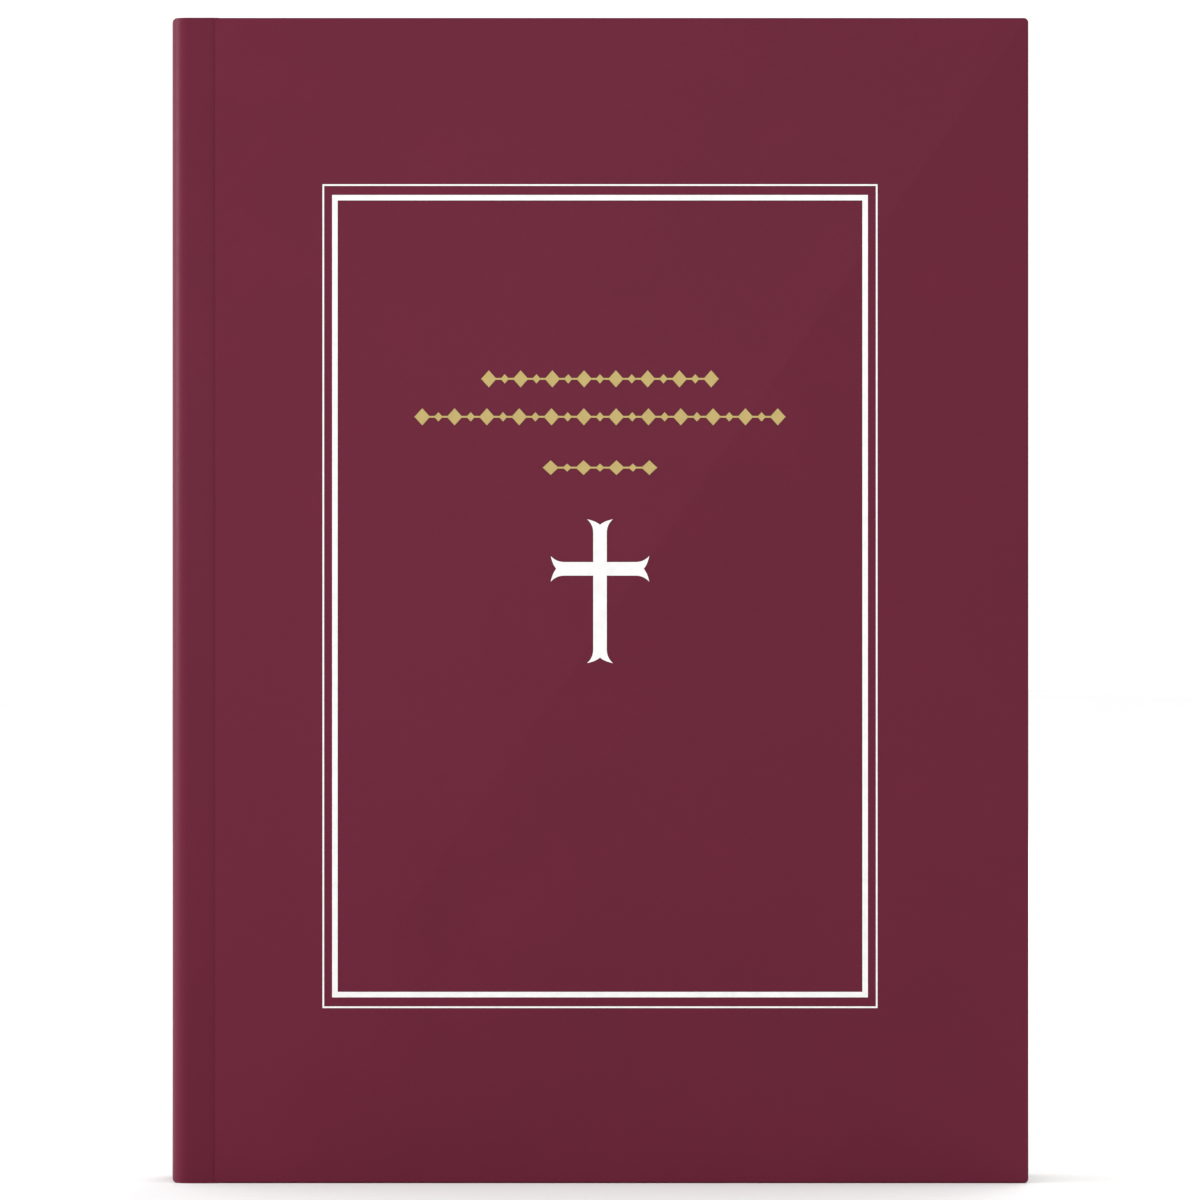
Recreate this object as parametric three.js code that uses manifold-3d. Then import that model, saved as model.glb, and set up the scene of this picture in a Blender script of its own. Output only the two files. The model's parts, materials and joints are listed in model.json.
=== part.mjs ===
// A prayer book standing on its tail edge: sewn sections in two leaf blocks, between two covers that turn on
// creases beside a flexible spine. Millimetres. +X runs from spine to fore edge, -Y faces the reader, and +Z
// points to the head.
import * as THREE from "three";
import { mergeVertices } from "three/addons/utils/BufferGeometryUtils.js";
import Module from "manifold-3d";

const wasm = await Module();
wasm.setup();

// Driving sizes of the closed book.
const COVER_WIDTH = 140;
const COVER_HEIGHT = 190.4;
const CORNER_RADIUS = 0.75; // the four corners, seen from the front
const SPINE_EDGE_RADIUS = 2.7; // where a side turns into the spine
const HINGE_FROM_SPINE = 6.9; // the crease that each cover turns on
const CREASE_WIDTH = 0.4;

// Sheet thicknesses, from the outside in.
const LEATHER = 0.4;
const BOARD = 1.8;
const PASTEDOWN = 0.2;
const FLYLEAF = 0.25;
const SECTION = 1.1;
const SPINE_LINING = 0.3;
const FOIL = 0.04;

// The paper block and how it sits in the covers.
const SECTIONS_PER_BLOCK = 5; // besides its half of the middle section
const SQUARE = 3; // how far the covers stand proud of the paper at head, tail and fore edge
const TURN_IN_SHOWN = 3.5; // the leather border left round a pastedown
const BAND_WIDTH = 2.3;
const BAND_HEIGHT = 1.9;

// Clearances between sheets.
const GLUE = 0.03; // between layers that are bonded
const SLIP = 0.03; // between sheets that part when the book opens
const BOARD_SETBACK = 0.35; // board edge behind the crease
const SHOULDER_SETBACK = 0.25; // paper shoulder in front of the crease
const FLYLEAF_SETBACK = 0.2;

// Stamped decoration on the front cover, centred on its width. Drops are measured down from the head edge.
const FRAME_MARGIN = { side: 24.67, head: 27.21, tail: 28.63 }; // cover edge to outer frame line
const INNER_INSET = { side: 1.58, end: 1.75 }; // outer frame line to inner frame line
const OUTER_LINE = 0.28;
const INNER_LINE = 0.9;
const CROSS_DROP = 90.03;
const CROSS = { side: 8.05, top: 8.1, bottom: 15.4, bar: 2.22, tip: 4.2, flare: 2.2, notch: 0.9 };
const CROSS_CURVE_STEPS = 6;
const ORNAMENTS = [
  { name: "upper_gold_ornament", drop: 59, width: 38.9, height: 2.8, lozenges: 15 },
  { name: "middle_gold_ornament", drop: 65.2, width: 60.7, height: 2.8, lozenges: 23 },
  { name: "lower_gold_ornament", drop: 73.5, width: 18.8, height: 2.4, lozenges: 7 },
];
const ORNAMENT_RULE = 0.3; // the thin line that strings an ornament's lozenges together
const LOZENGE_SHARE = 0.96; // how much of its pitch a large lozenge fills
const SMALL_LOZENGE = 0.55; // every second lozenge, as a share of a large one

// Places worked out from the sizes.
const SPINE_X = -COVER_WIDTH / 2;
const FORE_EDGE_X = COVER_WIDTH / 2;
const CREASE_X = SPINE_X + HINGE_FROM_SPINE;
const PAPER_FORE_X = FORE_EDGE_X - SQUARE;
const PAPER_LOW = SQUARE;
const PAPER_HIGH = COVER_HEIGHT - SQUARE;
const HALF_SECTION = SECTION / 2;
const PITCH = SECTION + SLIP;
const PAPER_HALF = SLIP / 2 + HALF_SECTION + SECTIONS_PER_BLOCK * PITCH;
const FLYLEAF_Y = PAPER_HALF + SLIP;
const COVER_INNER_Y = FLYLEAF_Y + FLYLEAF + SLIP;
const BOARD_INNER_Y = COVER_INNER_Y + PASTEDOWN + GLUE;
const BOARD_OUTER_Y = BOARD_INNER_Y + BOARD;
const HALF_DEPTH = BOARD_OUTER_Y + GLUE + LEATHER;
const LINING_X = SPINE_X + LEATHER + GLUE;
const PAPER_SPINE_X = LINING_X + SPINE_LINING + GLUE;
const SPINE_FLAT_Y = HALF_DEPTH - SPINE_EDGE_RADIUS; // where the flat of the spine ends

function finish(color, roughness, metalness = 0) {
  return new THREE.MeshStandardMaterial({ color, roughness, metalness });
}

const finishes = {
  leather: finish(0x6d2b3d, 0.55),
  board: finish(0x8f8778, 0.9),
  endpaper: finish(0xf1ead9, 0.85),
  page: finish(0xf4efe2, 0.9),
  lining: finish(0xd8d2c4, 0.95),
  band: finish(0xa8864a, 0.7),
  whiteFoil: finish(0xffffff, 0.5),
  goldFoil: finish(0xc3af6e, 0.4, 0.6),
};

const book = new THREE.Group();

function addPart(name, geometry, material) {
  const mesh = new THREE.Mesh(geometry, material);
  mesh.name = name;
  book.add(mesh);
}

// A block between two corners, given in any order.
function slab([x0, y0, z0], [x1, y1, z1]) {
  const box = new THREE.BoxGeometry(Math.abs(x1 - x0), Math.abs(y1 - y0), Math.abs(z1 - z0));
  return box.translate((x0 + x1) / 2, (y0 + y1) / 2, (z0 + z1) / 2);
}

// An outline in X and Y drawn up along Z.
function upright(outline, low, high) {
  const options = { depth: high - low, bevelEnabled: false, curveSegments: 12 };
  return new THREE.ExtrudeGeometry(outline, options).translate(0, 0, low);
}

// An outline in X and Z drawn along Y.
function across(outline, near, far) {
  const options = { depth: Math.abs(far - near), bevelEnabled: false, curveSegments: 8 };
  return new THREE.ExtrudeGeometry(outline, options).rotateX(Math.PI / 2).translate(0, Math.max(near, far), 0);
}

function toSolid(geometry) {
  const bare = geometry.clone().deleteAttribute("normal").deleteAttribute("uv");
  const merged = mergeVertices(bare, 1e-4);
  const vertProperties = merged.attributes.position.array;
  const triVerts = new Uint32Array(merged.index.array);
  return new wasm.Manifold(new wasm.Mesh({ numProp: 3, vertProperties, triVerts }));
}

function toGeometry(solid) {
  const mesh = solid.getMesh();
  const geometry = new THREE.BufferGeometry();
  geometry.setAttribute("position", new THREE.BufferAttribute(mesh.vertProperties, 3));
  return geometry.setIndex(new THREE.BufferAttribute(mesh.triVerts, 1));
}

// The closed book's silhouette from the front, with its four small round corners.
function silhouette() {
  const r = CORNER_RADIUS;
  const outline = new THREE.Shape();
  outline.moveTo(SPINE_X + r, 0);
  outline.lineTo(FORE_EDGE_X - r, 0);
  outline.absarc(FORE_EDGE_X - r, r, r, -Math.PI / 2, 0, false);
  outline.lineTo(FORE_EDGE_X, COVER_HEIGHT - r);
  outline.absarc(FORE_EDGE_X - r, COVER_HEIGHT - r, r, 0, Math.PI / 2, false);
  outline.lineTo(SPINE_X + r, COVER_HEIGHT);
  outline.absarc(SPINE_X + r, COVER_HEIGHT - r, r, Math.PI / 2, Math.PI, false);
  outline.lineTo(SPINE_X, r);
  outline.absarc(SPINE_X + r, r, r, Math.PI, 1.5 * Math.PI, false);
  return outline;
}

const envelope = toSolid(across(silhouette(), -HALF_DEPTH, HALF_DEPTH));

// A cover: a leather skin turned in over a board, with a pastedown in the window that the turn-ins leave.
// side is -1 at the front and +1 at the back.
function addCover(name, side) {
  const leatherEdge = CREASE_X + CREASE_WIDTH / 2;
  const boardEdge = leatherEdge + BOARD_SETBACK;
  const boardFore = FORE_EDGE_X - LEATHER - GLUE;
  const boardLow = LEATHER + GLUE;
  const boardHigh = COVER_HEIGHT - LEATHER - GLUE;
  const windowLow = TURN_IN_SHOWN;
  const windowHigh = COVER_HEIGHT - TURN_IN_SHOWN;
  const windowFore = FORE_EDGE_X - TURN_IN_SHOWN;
  const turnInY = side * (COVER_INNER_Y + PASTEDOWN);

  const blank = slab([leatherEdge, side * HALF_DEPTH, 0], [FORE_EDGE_X, side * COVER_INNER_Y, COVER_HEIGHT]);
  const boardRoom = slab(
    [leatherEdge - 1, side * (BOARD_OUTER_Y + GLUE), boardLow - GLUE],
    [boardFore + GLUE, turnInY, boardHigh + GLUE],
  );
  const windowRoom = slab(
    [leatherEdge - 1, side * BOARD_INNER_Y, windowLow - GLUE],
    [windowFore + GLUE, side * (COVER_INNER_Y - 1), windowHigh + GLUE],
  );
  const skin = toSolid(blank).intersect(envelope).subtract(toSolid(boardRoom)).subtract(toSolid(windowRoom));
  addPart(`${name}_leather`, toGeometry(skin), finishes.leather);

  const board = slab([boardEdge, side * BOARD_INNER_Y, boardLow], [boardFore, side * BOARD_OUTER_Y, boardHigh]);
  addPart(`${name}_board`, board, finishes.board);

  const pastedown = slab([boardEdge, side * COVER_INNER_Y, windowLow], [windowFore, turnInY, windowHigh]);
  addPart(`${name}_pastedown`, pastedown, finishes.endpaper);
}

// The free half of an endpaper.
function addFlyleaf(name, side) {
  const leaf = slab(
    [CREASE_X + FLYLEAF_SETBACK, side * FLYLEAF_Y, PAPER_LOW],
    [PAPER_FORE_X, side * (FLYLEAF_Y + FLYLEAF), PAPER_HIGH],
  );
  addPart(`${name}_flyleaf`, leaf, finishes.endpaper);
}

// The leather from the crease, round the spine's long edge, to the middle of the spine.
function spineLeatherOutline(side) {
  const creaseSide = CREASE_X - CREASE_WIDTH / 2;
  const bendX = SPINE_X + SPINE_EDGE_RADIUS;
  const bendY = side * SPINE_FLAT_Y;
  const middle = (side * SLIP) / 2;
  const sideAngle = (side * Math.PI) / 2;
  const spineAngle = side * Math.PI;
  const outline = new THREE.Shape();
  outline.moveTo(creaseSide, side * HALF_DEPTH);
  outline.lineTo(bendX, side * HALF_DEPTH);
  outline.absarc(bendX, bendY, SPINE_EDGE_RADIUS, sideAngle, spineAngle, side < 0);
  outline.lineTo(SPINE_X, middle);
  outline.lineTo(SPINE_X + LEATHER, middle);
  outline.lineTo(SPINE_X + LEATHER, bendY);
  outline.absarc(bendX, bendY, SPINE_EDGE_RADIUS - LEATHER, spineAngle, sideAngle, side > 0);
  outline.lineTo(creaseSide, side * (HALF_DEPTH - LEATHER));
  return outline;
}

// A section is a flat stack of folded sheets with a round fold at the spine.
function sectionOutline(middle) {
  const outline = new THREE.Shape();
  const bendX = PAPER_SPINE_X + HALF_SECTION;
  outline.moveTo(PAPER_FORE_X, middle - HALF_SECTION);
  outline.lineTo(PAPER_FORE_X, middle + HALF_SECTION);
  outline.lineTo(bendX, middle + HALF_SECTION);
  outline.absarc(bendX, middle, HALF_SECTION, Math.PI / 2, 1.5 * Math.PI, false);
  return outline;
}

// Half of the middle section, which parts where the book opens flat.
function middleSectionOutline(side) {
  const bendX = PAPER_SPINE_X + HALF_SECTION;
  const inner = (side * SLIP) / 2;
  const outline = new THREE.Shape();
  outline.moveTo(PAPER_FORE_X, inner);
  outline.lineTo(PAPER_FORE_X, inner + side * HALF_SECTION);
  outline.lineTo(bendX, inner + side * HALF_SECTION);
  outline.absarc(bendX, inner, HALF_SECTION, (side * Math.PI) / 2, side * Math.PI, side < 0);
  return outline;
}

// The outermost section is backed: its fold is hammered over into a shoulder that fills the joint.
function backedSectionOutline(side, middle) {
  const shoulderX = CREASE_X - CREASE_WIDTH / 2 - SHOULDER_SETBACK;
  const reach = SPINE_EDGE_RADIUS - LEATHER - GLUE;
  const bendX = SPINE_X + SPINE_EDGE_RADIUS;
  const bendY = side * SPINE_FLAT_Y;
  const inner = middle - side * HALF_SECTION;
  const outer = middle + side * HALF_SECTION;
  const outline = new THREE.Shape();
  outline.moveTo(PAPER_FORE_X, inner);
  outline.lineTo(PAPER_FORE_X, outer);
  outline.lineTo(shoulderX, outer);
  outline.lineTo(shoulderX, bendY + side * reach);
  outline.lineTo(bendX, bendY + side * reach);
  outline.absarc(bendX, bendY, reach, (side * Math.PI) / 2, side * Math.PI, side < 0);
  outline.lineTo(PAPER_SPINE_X, bendY);
  outline.lineTo(PAPER_SPINE_X, inner);
  return outline;
}

// A woven bead that sits on the spine end of a block, at its head or its tail.
function bandGeometry(side, base, grows) {
  const round = BAND_WIDTH / 2;
  const tip = base + grows * (BAND_HEIGHT - round);
  const outline = new THREE.Shape();
  outline.moveTo(PAPER_SPINE_X, base);
  outline.lineTo(PAPER_SPINE_X + BAND_WIDTH, base);
  outline.lineTo(PAPER_SPINE_X + BAND_WIDTH, tip);
  outline.absarc(PAPER_SPINE_X + round, tip, round, 0, Math.PI, grows < 0);
  return across(outline, (side * SLIP) / 2, side * PAPER_HALF);
}

// One leaf block with its half of the spine.
function addBlock(name, side) {
  addPart(`${name}_middle_section`, upright(middleSectionOutline(side), PAPER_LOW, PAPER_HIGH), finishes.page);
  for (let number = 1; number <= SECTIONS_PER_BLOCK; number++) {
    const middle = side * (SLIP / 2 + number * PITCH);
    const backed = number === SECTIONS_PER_BLOCK;
    const outline = backed ? backedSectionOutline(side, middle) : sectionOutline(middle);
    addPart(`${name}_section_${number}`, upright(outline, PAPER_LOW, PAPER_HIGH), finishes.page);
  }

  const leather = toSolid(upright(spineLeatherOutline(side), 0, COVER_HEIGHT)).intersect(envelope);
  addPart(`${name}_spine_leather`, toGeometry(leather), finishes.leather);

  const lining = slab(
    [LINING_X, (side * SLIP) / 2, PAPER_LOW],
    [LINING_X + SPINE_LINING, side * (SPINE_FLAT_Y - GLUE), PAPER_HIGH],
  );
  addPart(`${name}_spine_lining`, lining, finishes.lining);
  addPart(`${name}_head_band`, bandGeometry(side, PAPER_HIGH + GLUE, 1), finishes.band);
  addPart(`${name}_tail_band`, bandGeometry(side, PAPER_LOW - GLUE, -1), finishes.band);
}

// A foil stamp lies on the front cover's leather.
function addStamp(name, outline, material) {
  addPart(name, across(outline, -HALF_DEPTH - GLUE - FOIL, -HALF_DEPTH - GLUE), material);
}

// A rectangle about the cover's centre line, drawn on a shape or as a hole's path.
function drawRectangle(path, halfWidth, low, high) {
  path.moveTo(-halfWidth, low);
  path.lineTo(halfWidth, low);
  path.lineTo(halfWidth, high);
  path.lineTo(-halfWidth, high);
  return path;
}

// A frame line, set in from the outer frame's place by a distance at the sides and at the ends.
function frameOutline(insetSide, insetEnd, line) {
  const halfWidth = COVER_WIDTH / 2 - FRAME_MARGIN.side - insetSide;
  const low = FRAME_MARGIN.tail + insetEnd;
  const high = COVER_HEIGHT - FRAME_MARGIN.head - insetEnd;
  const outline = drawRectangle(new THREE.Shape(), halfWidth, low, high);
  outline.holes.push(drawRectangle(new THREE.Path(), halfWidth - line, low + line, high - line));
  return outline;
}

// Points along a curve that leaves its start towards the bend and comes to its end from the bend.
function curvePoints(start, bend, end) {
  return new THREE.QuadraticBezierCurve(
    new THREE.Vector2(...start),
    new THREE.Vector2(...bend),
    new THREE.Vector2(...end),
  ).getPoints(CROSS_CURVE_STEPS);
}

// One arm of the cross, from its inner corner round the fishtail end with its curved flares and notch.
function armPoints(directionX, directionZ, length) {
  const half = CROSS.bar / 2;
  const tip = CROSS.tip / 2;
  const notch = length - CROSS.notch;
  const flareCurve = curvePoints([length - CROSS.flare, half], [notch, half], [length, tip]);
  const lobeCurve = curvePoints([length, tip], [length - CROSS.notch / 3, tip / 3], [notch, 0]);
  const firstHalf = [...flareCurve, ...lobeCurve.slice(1, -1)];
  const secondHalf = firstHalf.map(({ x, y }) => new THREE.Vector2(x, -y)).reverse();
  const corner = new THREE.Vector2(half, half);
  const points = [corner, ...firstHalf, new THREE.Vector2(notch, 0), ...secondHalf];
  return points.map(({ x: along, y: beside }) => {
    const x = along * directionX - beside * directionZ;
    const z = COVER_HEIGHT - CROSS_DROP + along * directionZ + beside * directionX;
    return new THREE.Vector2(x, z);
  });
}

function crossOutline() {
  return new THREE.Shape([
    ...armPoints(0, 1, CROSS.top),
    ...armPoints(1, 0, CROSS.side),
    ...armPoints(0, -1, CROSS.bottom),
    ...armPoints(-1, 0, CROSS.side),
  ]);
}

// A thin rule strung with large and small lozenges, as one outline: out along the top, back along the bottom.
function ornamentOutline({ drop, width, height, lozenges }) {
  const z = COVER_HEIGHT - drop;
  const pitch = width / lozenges;
  const rule = ORNAMENT_RULE / 2;
  const edge = (way) => {
    const points = [new THREE.Vector2((-way * width) / 2, z)];
    for (let n = 0; n < lozenges; n++) {
      const size = n % 2 === 0 ? 1 : SMALL_LOZENGE;
      const tip = (size * height) / 2;
      const shoulder = ((size * pitch * LOZENGE_SHARE) / 2) * (1 - rule / tip);
      const middle = way * ((n + 0.5) * pitch - width / 2);
      points.push(new THREE.Vector2(middle - way * shoulder, z + way * rule));
      points.push(new THREE.Vector2(middle, z + way * tip));
      points.push(new THREE.Vector2(middle + way * shoulder, z + way * rule));
    }
    return points;
  };
  return new THREE.Shape([...edge(1), ...edge(-1)]);
}

const SIDES = { front: -1, back: 1 };
for (const [name, side] of Object.entries(SIDES)) {
  addCover(`${name}_cover`, side);
  addFlyleaf(name, side);
  addBlock(name, side);
}
addStamp("outer_frame_line", frameOutline(0, 0, OUTER_LINE), finishes.whiteFoil);
addStamp("inner_frame_line", frameOutline(INNER_INSET.side, INNER_INSET.end, INNER_LINE), finishes.whiteFoil);
addStamp("cross_stamp", crossOutline(), finishes.whiteFoil);
for (const ornament of ORNAMENTS) addStamp(ornament.name, ornamentOutline(ornament), finishes.goldFoil);

export default book;
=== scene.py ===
"""The looks of a sewn prayer book in burgundy leatherette, built around its frame.

Sizes are in metres, and small ones are written as millimetres times MM.
"""

import json
import math
import random

import bmesh
import bpy
from mathutils import Matrix, Vector


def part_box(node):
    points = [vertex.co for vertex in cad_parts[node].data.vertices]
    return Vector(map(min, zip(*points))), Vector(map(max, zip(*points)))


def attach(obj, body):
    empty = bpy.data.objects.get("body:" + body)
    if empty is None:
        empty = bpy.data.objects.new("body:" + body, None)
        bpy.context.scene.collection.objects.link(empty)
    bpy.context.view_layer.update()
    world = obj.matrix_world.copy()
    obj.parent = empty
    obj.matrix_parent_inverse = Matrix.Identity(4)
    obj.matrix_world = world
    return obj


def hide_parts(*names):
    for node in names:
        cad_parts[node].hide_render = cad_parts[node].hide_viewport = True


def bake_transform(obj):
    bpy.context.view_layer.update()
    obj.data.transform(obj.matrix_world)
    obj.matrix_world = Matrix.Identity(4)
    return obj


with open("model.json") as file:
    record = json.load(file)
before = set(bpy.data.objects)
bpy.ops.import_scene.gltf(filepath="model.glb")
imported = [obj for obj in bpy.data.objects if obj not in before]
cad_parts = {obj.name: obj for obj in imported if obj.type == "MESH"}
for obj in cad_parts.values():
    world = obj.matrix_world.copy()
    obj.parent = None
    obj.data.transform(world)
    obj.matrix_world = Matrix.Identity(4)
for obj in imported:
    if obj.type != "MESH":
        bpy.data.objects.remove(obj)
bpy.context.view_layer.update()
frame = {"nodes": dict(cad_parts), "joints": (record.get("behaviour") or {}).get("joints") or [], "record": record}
joints = {joint["name"]: joint for joint in frame["joints"]}
trim_draw = random.Random(582)

MM = 0.001

# Thicknesses and small sizes of the visible pieces.
LEATHER = 0.4 * MM
ENDPAPER = 0.2 * MM
SHEETS_IN_SECTION = 4  # folded sheets, so twice as many leaves
SHEET_FILL = 0.8  # how much of its pitch a sheet's thickness fills
EDGE_ROUND = 0.5 * MM  # the covered board's edges
CREASE_ROUND = 0.15 * MM
CORNER_ROUND = 0.75 * MM
GROOVE_DEPTH = 0.12 * MM
BLEND_BEFORE_CREASE = 0.6 * MM
TUCK_INTO_BOARD = 0.6 * MM
UNEVEN_TRIM = 0.07 * MM  # how far a leaf's trimmed edge may stand behind the block's face
SPINE_SLIT = 0.01 * MM  # from each half of the spine's leather to the middle of the spine
SPINE_SOFTNESS = 0.05 * MM
SPINE_TURN = 2.7 * MM  # the outer radius of the spine's long edges
SPINE_TURN_STEPS = 12
JOINT_STEPS = 18  # across the leather that bends beside the crease
GROOVE_STEEPNESS = 1.8
THREAD_PITCH = 0.42 * MM
THREAD_BULGE = 0.13  # share of the band's radius
STEPS_IN_THREAD = 6
FOLD_SEGMENTS = 14  # in the endpaper's fold at the crease
FOLD_SLOPE = 3 * MM  # how far from its fold the open spread begins to rise

# Places read from the frame. Y is given as a distance out from the middle of the book.
cover_low, cover_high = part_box("back_cover_leather")
SPINE_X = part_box("back_spine_leather")[0].x
FORE_X = cover_high.x
SLAB_X = cover_low.x
COVER_TOP = cover_high.z
OUTER_Y = cover_high.y
BOARD_FACE_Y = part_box("back_cover_pastedown")[1].y
CREASE_X = joints["front_cover_hinge"]["pos_m"][0]
SIDES = {"front": -1, "back": 1}


# ---------------------------------------------------------------- materials


def node_material(name, roughness, **sockets):
    """A material with its shader's constant values set, its shader, and the object's own coordinates."""
    material = bpy.data.materials.new(name)
    material.use_nodes = True
    shader = material.node_tree.nodes["Principled BSDF"]
    shader.inputs["Roughness"].default_value = roughness
    for socket, value in sockets.items():
        shader.inputs[socket.replace("_", " ")].default_value = value
    coords = material.node_tree.nodes.new("ShaderNodeTexCoord")
    return material, shader, coords.outputs["Object"]


def add_node(material, kind, **values):
    """A node whose inputs and settings are given by name."""
    node = material.node_tree.nodes.new(kind)
    for key, value in values.items():
        if key in node.inputs:
            node.inputs[key].default_value = value
        else:
            setattr(node, key, value)
    return node


def join(material, source, target):
    material.node_tree.links.new(source, target)


def noise(material, coords, scale, detail=4.0):
    node = add_node(material, "ShaderNodeTexNoise", Scale=scale, Detail=detail)
    join(material, coords, node.inputs["Vector"])
    return node.outputs["Fac"]


def colours_between(material, factor, stops):
    """A ramp through the given (place, colour) stops."""
    ramp = add_node(material, "ShaderNodeValToRGB")
    elements = ramp.color_ramp.elements
    while len(elements) < len(stops):
        elements.new(0.5)
    for element, (place, colour) in zip(elements, stops):
        element.position = place
        element.color = (*colour, 1)
    join(material, factor, ramp.inputs["Fac"])
    return ramp.outputs["Color"]


def bump(material, shader, height, distance, strength=1.0):
    node = add_node(material, "ShaderNodeBump", Distance=distance, Strength=strength)
    join(material, height, node.inputs["Height"])
    join(material, node.outputs["Normal"], shader.inputs["Normal"])


def shade(colour, share):
    return tuple(channel * share for channel in colour)


BURGUNDY = (0.1065, 0.0084, 0.0256)
PAPER = (0.655, 0.610, 0.505)
ENDPAPER_CREAM = (0.640, 0.590, 0.480)
GREYBOARD = (0.270, 0.245, 0.200)
CLOTH = (0.680, 0.640, 0.540)
GOLD = (0.390, 0.293, 0.096)
WHITE = (0.780, 0.780, 0.770)
SILK_GOLD = (0.520, 0.360, 0.120)


def leatherette():
    """Fine pebbled grain over a slightly mottled burgundy."""
    material, shader, coords = node_material("burgundy_leatherette", 0.55)
    shader.inputs["Specular IOR Level"].default_value = 0.12
    mottle = noise(material, coords, 45, 6)
    stops = [(0.3, shade(BURGUNDY, 0.965)), (0.7, shade(BURGUNDY, 1.035))]
    tone = colours_between(material, mottle, stops)
    join(material, tone, shader.inputs["Base Color"])
    pebbles = add_node(material, "ShaderNodeTexVoronoi", feature="SMOOTH_F1", Scale=2300.0, Smoothness=0.6)
    join(material, coords, pebbles.inputs["Vector"])
    wrinkles = noise(material, coords, 900, 5)
    grain = add_node(material, "ShaderNodeMath", operation="ADD")
    join(material, pebbles.outputs["Distance"], grain.inputs[0])
    join(material, wrinkles, grain.inputs[1])
    bump(material, shader, grain.outputs[0], 0.03 * MM, 0.35)
    gloss = add_node(material, "ShaderNodeMapRange")
    gloss.inputs["To Min"].default_value = 0.42
    gloss.inputs["To Max"].default_value = 0.54
    join(material, wrinkles, gloss.inputs["Value"])
    join(material, gloss.outputs["Result"], shader.inputs["Roughness"])
    return material


def paper(name, colour, fibre_depth):
    """Uncoated paper with a faintly uneven tone, loose fibres and a faint tooth."""
    material, shader, coords = node_material(name, 0.88)
    shader.inputs["Specular IOR Level"].default_value = 0.2
    clouds = noise(material, coords, 260, 9)
    tone = colours_between(material, clouds, [(0.25, shade(colour, 0.985)), (0.75, shade(colour, 1.01))])
    join(material, tone, shader.inputs["Base Color"])
    fibres = noise(material, coords, 2600, 6)
    bump(material, shader, fibres, fibre_depth, 0.4)
    return material


def greyboard():
    material, shader, coords = node_material("grey_board", 0.93)
    flecks = noise(material, coords, 1400, 8)
    tone = colours_between(material, flecks, [(0.35, shade(GREYBOARD, 0.72)), (0.65, shade(GREYBOARD, 1.2))])
    join(material, tone, shader.inputs["Base Color"])
    bump(material, shader, flecks, 0.06 * MM)
    return material


def weave(material, coords, scale):
    """The height of a plain weave whose threads run along Y and Z."""
    threads = []
    for direction in ("Y", "Z"):
        wave = add_node(material, "ShaderNodeTexWave", bands_direction=direction, Scale=scale, Distortion=0.6)
        join(material, coords, wave.inputs["Vector"])
        threads.append(wave.outputs["Fac"])
    both = add_node(material, "ShaderNodeMath", operation="MAXIMUM")
    for n, thread in enumerate(threads):
        join(material, thread, both.inputs[n])
    return both.outputs[0]


def lining_cloth():
    material, shader, coords = node_material("mull_cloth", 0.95)
    threads = weave(material, coords, 600)
    tone = colours_between(material, threads, [(0.1, shade(CLOTH, 0.55)), (0.8, CLOTH)])
    join(material, tone, shader.inputs["Base Color"])
    bump(material, shader, threads, 0.08 * MM)
    return material


def band_silk():
    """Two-coloured silk wound round the head and tail bands: gold and burgundy threads in turn."""
    material, shader, coords = node_material("band_silk", 0.5, Sheen_Weight=0.3)
    wave_scale = math.pi / (20 * THREAD_PITCH)
    stripes = add_node(material, "ShaderNodeTexWave", bands_direction="Y", Scale=wave_scale)
    join(material, coords, stripes.inputs["Vector"])
    stops = [(0.45, shade(BURGUNDY, 1.5)), (0.55, SILK_GOLD)]
    join(material, colours_between(material, stripes.outputs["Fac"], stops), shader.inputs["Base Color"])
    bump(material, shader, noise(material, coords, 9000, 3), 0.02 * MM)
    return material


def foil(name, colour, roughness, metallic):
    """Hot-stamped foil, faintly uneven where the leatherette's grain shows through."""
    material, shader, coords = node_material(name, roughness, Metallic=metallic)
    patches = noise(material, coords, 700, 4)
    tone = colours_between(material, patches, [(0.3, shade(colour, 0.93)), (0.65, colour)])
    join(material, tone, shader.inputs["Base Color"])
    bump(material, shader, noise(material, coords, 2300, 3), 0.02 * MM, 0.3)
    return material


# ---------------------------------------------------------------- mesh helpers


def make_piece(name, bm, material, smooth_angle=35):
    """Turns a finished bmesh into a piece of the book."""
    bmesh.ops.recalc_face_normals(bm, faces=bm.faces)
    mesh = bpy.data.meshes.new(name)
    bm.to_mesh(mesh)
    bm.free()
    mesh.materials.append(material)
    mesh.shade_smooth()
    mesh.set_sharp_from_angle(angle=math.radians(smooth_angle))
    piece = bpy.data.objects.new(name, mesh)
    bpy.context.scene.collection.objects.link(piece)
    return piece


def line_to(bm, vert, point):
    """Draws an edge from a vertex to a point, and returns the new vertex."""
    end = bmesh.ops.extrude_vert_indiv(bm, verts=[vert])["verts"][0]
    end.co = point
    return end


def arc_from(bm, vert, centre, angle, steps):
    """Turns a vertex about an upright axis, and returns the last vertex of the arc."""
    turned = bmesh.ops.spin(bm, geom=[vert], cent=centre, axis=(0, 0, 1), angle=angle, steps=steps)
    return turned["geom_last"][0]


def raise_edges(bm, edges, height):
    """Draws edges up into upright faces."""
    raised = bmesh.ops.extrude_edge_only(bm, edges=edges)
    verts = [item for item in raised["geom"] if isinstance(item, bmesh.types.BMVert)]
    bmesh.ops.translate(bm, verts=verts, vec=(0, 0, height))


def thicken(piece, thickness):
    """Gives a sheet its thickness, half to each side of its surface."""
    modifier = piece.modifiers.new("thickness", "SOLIDIFY")
    modifier.thickness = thickness
    modifier.offset = 0
    modifier.use_even_offset = True


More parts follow.
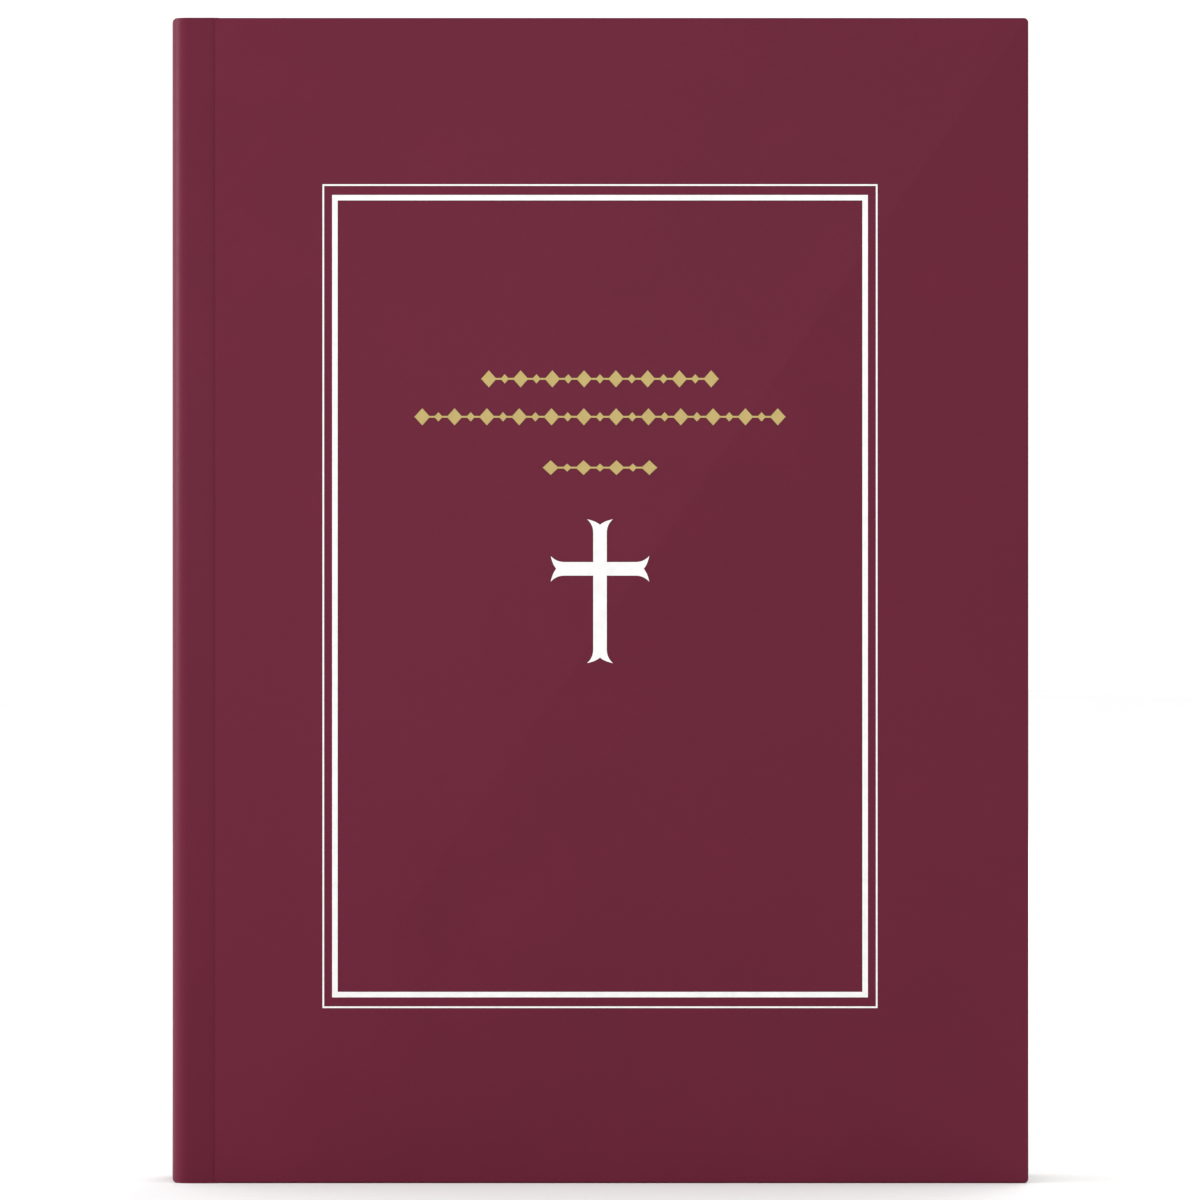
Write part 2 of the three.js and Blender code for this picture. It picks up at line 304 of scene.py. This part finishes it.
def soften_edges(piece, width, segments):
    modifier = piece.modifiers.new("soft_edges", "BEVEL")
    modifier.width = width
    modifier.segments = segments
    modifier.limit_method = "ANGLE"
    modifier.angle_limit = math.radians(50)


# ---------------------------------------------------------------- covers


def add_board_slab(bm, side):
    """The covered board: a slab with rounded edges and small round fore-edge corners."""
    made = bmesh.ops.create_cube(bm, size=1)
    size = Vector((FORE_X - SLAB_X, OUTER_Y - BOARD_FACE_Y, COVER_TOP))
    centre = Vector(((FORE_X + SLAB_X) / 2, side * (OUTER_Y + BOARD_FACE_Y) / 2, COVER_TOP / 2))
    bmesh.ops.scale(bm, verts=made["verts"], vec=size)
    bmesh.ops.translate(bm, verts=made["verts"], vec=centre)

    def bevel(edges, offset, segments):
        bmesh.ops.bevel(
            bm, geom=edges, offset=offset, segments=segments, profile=0.5, affect="EDGES", material=-1
        )

    near_fore = [e for e in bm.edges if all(v.co.x > centre.x for v in e.verts)]
    across_depth = [e for e in near_fore if abs(e.verts[0].co.y - e.verts[1].co.y) > size.y / 2]
    bevel(across_depth, CORNER_ROUND, 6)
    crease_side = [e for e in bm.edges if all(v.co.x < SLAB_X + 0.01 * MM for v in e.verts)]
    bevel(crease_side, CREASE_ROUND, 3)
    sharp = math.radians(50)
    outline = [e for e in bm.edges if e.calc_face_angle(0) > sharp]
    bevel(outline, EDGE_ROUND, 5)


def corner_drop(x):
    """How far the spine's end lies below the cover's end, round its small corner."""
    inside = SPINE_X + CORNER_ROUND - x
    if inside <= 0:
        return 0
    return CORNER_ROUND - math.sqrt(max(CORNER_ROUND**2 - inside**2, 0))


def add_spine_sheet(bm, side):
    """The leather from the middle of the spine, round its long edge, to just inside the covered board."""
    half = LEATHER / 2
    face = side * (OUTER_Y - half)
    bend = Vector((SPINE_X + SPINE_TURN, side * (OUTER_Y - SPINE_TURN), 0))
    first = bm.verts.new((SPINE_X + half, side * SPINE_SLIT, 0))
    flat_end = line_to(bm, first, (SPINE_X + half, bend.y, 0))
    bend_end = arc_from(bm, flat_end, bend, -side * math.pi / 2, SPINE_TURN_STEPS)
    joint_start = CREASE_X - BLEND_BEFORE_CREASE
    vert = line_to(bm, bend_end, (joint_start, face, 0))
    travel = SLAB_X + TUCK_INTO_BOARD - joint_start
    for n in range(1, JOINT_STEPS + 1):
        share = n / JOINT_STEPS
        sink = GROOVE_DEPTH * min(1, GROOVE_STEEPNESS * share) ** 2
        vert = line_to(bm, vert, (joint_start + travel * share, face - side * sink, 0))
    raise_edges(bm, list(bm.edges), COVER_TOP)
    for vert in bm.verts:
        if vert.co.x > SPINE_X + CORNER_ROUND:
            continue
        drop = corner_drop(vert.co.x - half)
        vert.co.z += drop if vert.co.z < COVER_TOP / 2 else -drop


def make_covering(name, side, material):
    """One cover's covering with its half of the spine. It bends at the crease."""
    slab = bmesh.new()
    add_board_slab(slab, side)
    panel = make_piece(f"{name}_covering", slab, material)
    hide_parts(f"{name}_cover_leather")
    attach(panel, f"{name}_cover")

    sheet = bmesh.new()
    add_spine_sheet(sheet, side)
    spine = make_piece(f"{name}_spine_covering", sheet, material)
    thicken(spine, LEATHER)
    soften_edges(spine, SPINE_SOFTNESS, 2)
    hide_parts(f"{name}_spine_leather")
    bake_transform(spine)


def make_endpaper(name, side, material):
    """One folded sheet: the pastedown on the board and the free flyleaf, joined by a fold at the crease."""
    paste_low, paste_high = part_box(f"{name}_cover_pastedown")
    leaf_low, leaf_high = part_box(f"{name}_flyleaf")
    paste_y = (paste_low.y + paste_high.y) / 2
    leaf_y = (leaf_low.y + leaf_high.y) / 2
    middle = (paste_y + leaf_y) / 2
    fold_x = leaf_low.x

    bm = bmesh.new()
    low = leaf_low.z
    start = bm.verts.new((leaf_high.x, leaf_y, low))
    bend = line_to(bm, start, (fold_x, leaf_y, low))
    turned = arc_from(bm, bend, (fold_x, middle, 0), -side * math.pi, FOLD_SEGMENTS)
    line_to(bm, turned, (paste_high.x, paste_y, low))
    raise_edges(bm, list(bm.edges), leaf_high.z - low)
    piece = make_piece(f"{name}_endpaper", bm, material)
    thicken(piece, ENDPAPER)
    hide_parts(f"{name}_cover_pastedown", f"{name}_flyleaf")
    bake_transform(piece)


# ---------------------------------------------------------------- text block


def trimmed(edge):
    """A trimmed edge that stands a hair behind the block's face."""
    return edge - trim_draw.random() * UNEVEN_TRIM


def make_section(node, body, material):
    """A sewn section: nested folded sheets whose folds share one centre."""
    low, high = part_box(node)
    half = (high.y - low.y) / 2
    middle = (high.y + low.y) / 2
    bend_x = low.x + half
    pitch = half / SHEETS_IN_SECTION
    bm = bmesh.new()
    for n in range(SHEETS_IN_SECTION):
        radius = (n + 0.5) * pitch
        bottom = low.z + trim_draw.random() * UNEVEN_TRIM
        old = set(bm.edges)
        first = bm.verts.new((trimmed(high.x), middle - radius, bottom))
        bend = line_to(bm, first, (bend_x, middle - radius, bottom))
        turned = arc_from(bm, bend, (bend_x, middle, bottom), -math.pi, 8)
        line_to(bm, turned, (trimmed(high.x), middle + radius, bottom))
        raise_edges(bm, [e for e in bm.edges if e not in old], trimmed(high.z) - bottom)
    piece = make_piece(f"{node}_sheets", bm, material)
    thicken(piece, pitch * SHEET_FILL)
    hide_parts(node)
    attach(piece, body)


def make_middle_leaves(name, side, material):
    """The outer leaves of the middle section, which stay with their own block."""
    node = f"{name}_middle_section"
    low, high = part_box(node)
    pitch = (high.y - low.y) / SHEETS_IN_SECTION
    inner = min(abs(low.y), abs(high.y))
    bm = bmesh.new()
    for n in range(1, SHEETS_IN_SECTION):
        y = side * (inner + (n + 0.5) * pitch)
        old = set(bm.edges)
        bottom = low.z + trim_draw.random() * UNEVEN_TRIM
        first = bm.verts.new((trimmed(high.x), y, bottom))
        line_to(bm, first, (low.x + n * pitch, y, bottom))
        raise_edges(bm, [e for e in bm.edges if e not in old], trimmed(high.z) - bottom)
    piece = make_piece(f"{name}_middle_leaves", bm, material)
    thicken(piece, pitch * SHEET_FILL)
    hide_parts(node)
    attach(piece, f"{name}_block")


def make_centre_sheet(material):
    """The book's middle sheet, which opens into one spread whose fold rises just over the spine's leather."""
    low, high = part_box("back_middle_section")
    pitch = (high.y - low.y) / SHEETS_IN_SECTION
    leaf_y = low.y + pitch / 2
    fold_y = 0.87 * leaf_y
    bm = bmesh.new()
    vert = bm.verts.new((high.x, leaf_y, low.z))
    for x, y in (
        (low.x + FOLD_SLOPE, leaf_y),
        (low.x, fold_y),
        (low.x, -fold_y),
        (low.x + FOLD_SLOPE, -leaf_y),
        (high.x, -leaf_y),
    ):
        vert = line_to(bm, vert, (x, y, low.z))
    raise_edges(bm, list(bm.edges), high.z - low.z)
    piece = make_piece("centre_sheet", bm, material)
    thicken(piece, pitch * SHEET_FILL)
    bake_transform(piece)


def make_band(node, body, material):
    """A head or tail band: silk threads wound side by side round a core."""
    low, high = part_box(node)
    centre = (low + high) / 2
    radius = (high.z - low.z) / 2 / (1 + THREAD_BULGE)
    length = high.y - low.y
    steps = round(length / THREAD_PITCH) * STEPS_IN_THREAD
    bm = bmesh.new()
    turn = Matrix.Translation((centre.x, low.y, centre.z)) @ Matrix.Rotation(math.pi / 2, 4, "X")
    bmesh.ops.create_circle(bm, segments=16, radius=radius, matrix=turn)
    edges = list(bm.edges)
    grown = 1.0
    for n in range(1, steps + 1):
        made = bmesh.ops.extrude_edge_only(bm, edges=edges)["geom"]
        ring = [item for item in made if isinstance(item, bmesh.types.BMVert)]
        edges = [item for item in made if isinstance(item, bmesh.types.BMEdge)]
        wanted = 1 + THREAD_BULGE * abs(math.sin(math.pi * n / STEPS_IN_THREAD))
        y = low.y + length * n / steps
        space = Matrix.Translation((-centre.x, -y, -centre.z))
        bmesh.ops.translate(bm, verts=ring, vec=(0, length / steps, 0))
        bmesh.ops.scale(bm, verts=ring, vec=(wanted / grown, 1, wanted / grown), space=space)
        grown = wanted
    bmesh.ops.holes_fill(bm, edges=bm.edges)
    piece = make_piece(f"{node}_silk", bm, material, 60)
    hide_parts(node)
    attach(piece, body)


def finish_cad_nodes(finishes):
    """Gives the frame's own nodes their finished materials, though those with a detailed piece don't show."""
    slots = {row["node"]: row["material_slot"] for row in frame["record"]["subparts"]}
    for name, node in frame["nodes"].items():
        material = finishes[slots[name]]
        node.data.materials.clear()
        node.data.materials.append(material)


# ---------------------------------------------------------------- studio


def make_floor():
    bm = bmesh.new()
    bmesh.ops.create_grid(bm, x_segments=1, y_segments=1, size=6)
    mesh = bpy.data.meshes.new("floor")
    bm.to_mesh(mesh)
    bm.free()
    floor = bpy.data.objects.new("floor", mesh)
    bpy.context.scene.collection.objects.link(floor)
    material, shader, coords = node_material("pale_floor", 0.9)
    patches = noise(material, coords, 3)
    tone = colours_between(material, patches, [(0.3, (0.86, 0.86, 0.86)), (0.7, (0.9, 0.9, 0.9))])
    join(material, tone, shader.inputs["Base Color"])
    mesh.materials.append(material)


def aim(thing, place, target):
    thing.location = place
    thing.rotation_euler = (Vector(target) - Vector(place)).to_track_quat("-Z", "Y").to_euler()


def add_softbox(name, place, target, width, height, energy):
    light = bpy.data.lights.new(name, "AREA")
    light.shape = "RECTANGLE"
    light.size = width
    light.size_y = height
    light.energy = energy
    lamp = bpy.data.objects.new(name, light)
    bpy.context.scene.collection.objects.link(lamp)
    aim(lamp, place, target)


def make_studio():
    world = bpy.data.worlds.new("studio")
    world.use_nodes = True
    world.node_tree.nodes["Background"].inputs["Color"].default_value = (1, 1, 1, 1)
    world.node_tree.nodes["Background"].inputs["Strength"].default_value = 1.12
    bpy.context.scene.world = world
    middle = (0, 0, COVER_TOP / 2)
    add_softbox("key_softbox", (-0.3, -4.0, 0.4), middle, 2.2, 2.2, 33)
    add_softbox("spine_softbox", (-2.4, -0.08, COVER_TOP / 2), middle, 0.45, 2.1, 88)
    add_softbox("back_softbox", (0.5, 1.4, 0.7), middle, 0.8, 0.8, 6)
    bpy.context.scene.view_settings.view_transform = "Standard"


def make_camera():
    """A long lens, square on to the front cover."""
    field = 196 * MM  # the width seen in the plane of the front cover
    camera = bpy.data.cameras.new("camera")
    camera.lens = 200
    camera.sensor_width = 36
    camera.clip_start = 0.05
    camera.clip_end = 50
    distance = field * camera.lens / camera.sensor_width
    seat = bpy.data.objects.new("camera", camera)
    bpy.context.scene.collection.objects.link(seat)
    height = COVER_TOP / 2 + 0.08 * MM
    aim(seat, (0, -OUTER_Y - distance, height), (0, 0, height))
    bpy.context.scene.camera = seat


# ---------------------------------------------------------------- the book

leather_finish = leatherette()
page_finish = paper("page_paper", PAPER, 0.03 * MM)
endpaper_finish = paper("endpaper", ENDPAPER_CREAM, 0.05 * MM)
silk_finish = band_silk()
finishes = {
    "leatherette": leather_finish,
    "board": greyboard(),
    "endpaper": endpaper_finish,
    "page": page_finish,
    "lining": lining_cloth(),
    "band": silk_finish,
    "white_foil": foil("white_foil", WHITE, 0.5, 0.0),
    "gold_foil": foil("gold_foil", GOLD, 0.42, 0.35),
}

make_camera()
make_studio()
make_floor()
finish_cad_nodes(finishes)
make_centre_sheet(page_finish)
for name, side in SIDES.items():
    make_covering(name, side, leather_finish)
    make_endpaper(name, side, endpaper_finish)
    make_middle_leaves(name, side, page_finish)
    for number in range(1, 5):
        make_section(f"{name}_section_{number}", f"{name}_block", page_finish)
    make_band(f"{name}_head_band", f"{name}_block", silk_finish)
    make_band(f"{name}_tail_band", f"{name}_block", silk_finish)
